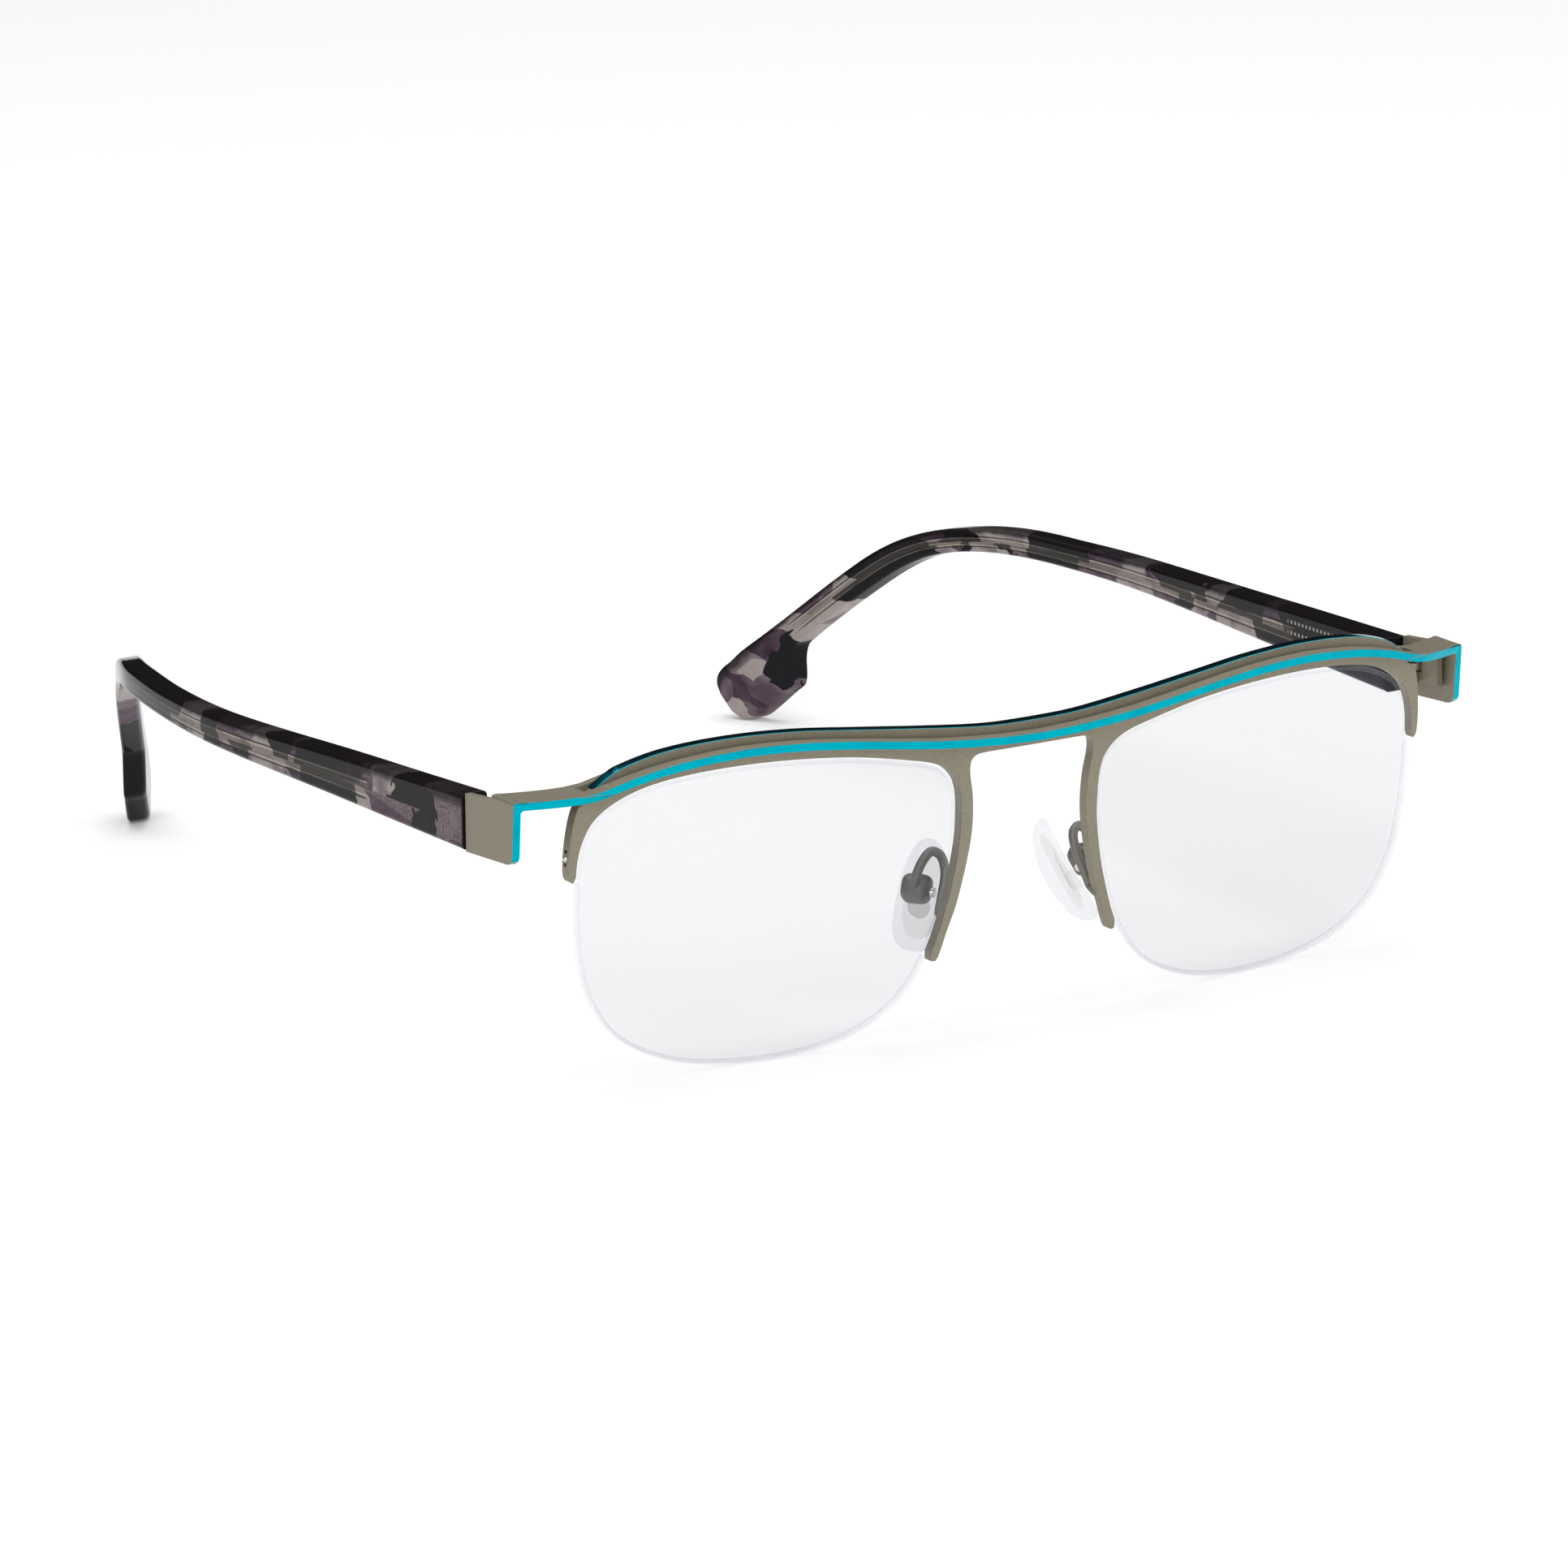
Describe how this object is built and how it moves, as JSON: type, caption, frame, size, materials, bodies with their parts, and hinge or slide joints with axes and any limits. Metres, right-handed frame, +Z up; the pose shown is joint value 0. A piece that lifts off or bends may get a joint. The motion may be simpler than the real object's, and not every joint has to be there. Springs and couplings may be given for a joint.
{
  "type": "half rim eyeglasses",
  "caption": "Half rim eyeglasses with a slotted metal brow ribbon, cord-held lenses, tilting nose pads and folding acetate temples.",
  "frame": {"origin": "middle of the bounding box on the table plane, with the glasses standing on the lens bottoms and the temple tips", "axes": "+X to the wearer's left, the front of the glasses faces -Y, the temples run back along +Y, +Z up"},
  "size_m": [0.1456, 0.1528, 0.0426],
  "materials": {
    "plate_metal": "matt khaki grey, fine grained",
    "ribbon_metal": "matt khaki grey faces with glossy teal cut edges",
    "lens": "clear organic lens, anti-reflection coated, grooved edge",
    "cord": "clear nylon",
    "screw": "small bright screw",
    "insert": "hard clear plastic",
    "pad": "soft clear silicone",
    "core": "warm grey wire and leaf",
    "acetate": "polished, mottled black, purple grey and clear"
  },
  "bodies": {
    "front": {"front_plate": "plate_metal", "brow_ribbon": "ribbon_metal", "lens_left": "lens", "lens_right": "lens", "nylon_cord_left": "cord", "nylon_cord_right": "cord", "pad_arm_left": "plate_metal", "pad_arm_right": "plate_metal", "pad_box_left": "plate_metal", "pad_box_right": "plate_metal", "pad_screw_left": "screw", "pad_screw_right": "screw", "front_hinge_left": "plate_metal", "front_hinge_right": "plate_metal", "hinge_screw_left": "screw", "hinge_screw_right": "screw"},
    "temple_left_arm": {"temple_left": "acetate", "temple_core_left": "core", "temple_hinge_left": "core"},
    "temple_right_arm": {"temple_right": "acetate", "temple_core_right": "core", "temple_hinge_right": "core"},
    "pad_left": {"nose_pad_left": "pad", "pad_insert_left": "insert"},
    "pad_right": {"nose_pad_right": "pad", "pad_insert_right": "insert"}
  },
  "joints": [
    {"name": "temple_left_fold", "type": "hinge", "parent": "front", "child": "temple_left_arm", "pos_m": [0.0674, -0.06, 0.03335], "axis": [0, 0, 1], "range_deg": [0, 84]},
    {"name": "temple_right_fold", "type": "hinge", "parent": "front", "child": "temple_right_arm", "pos_m": [-0.0674, -0.06, 0.03335], "axis": [0, 0, -1], "range_deg": [0, 72]},
    {"name": "pad_left_tilt", "type": "hinge", "parent": "front", "child": "pad_left", "pos_m": [0.0122, -0.0667, 0.0172], "axis": [0.625, 0.7806, -0.0023], "range_deg": [-8, 8]},
    {"name": "pad_right_tilt", "type": "hinge", "parent": "front", "child": "pad_right", "pos_m": [-0.0122, -0.0667, 0.0172], "axis": [0.625, -0.7806, 0.0023], "range_deg": [-8, 8]}
  ]
}
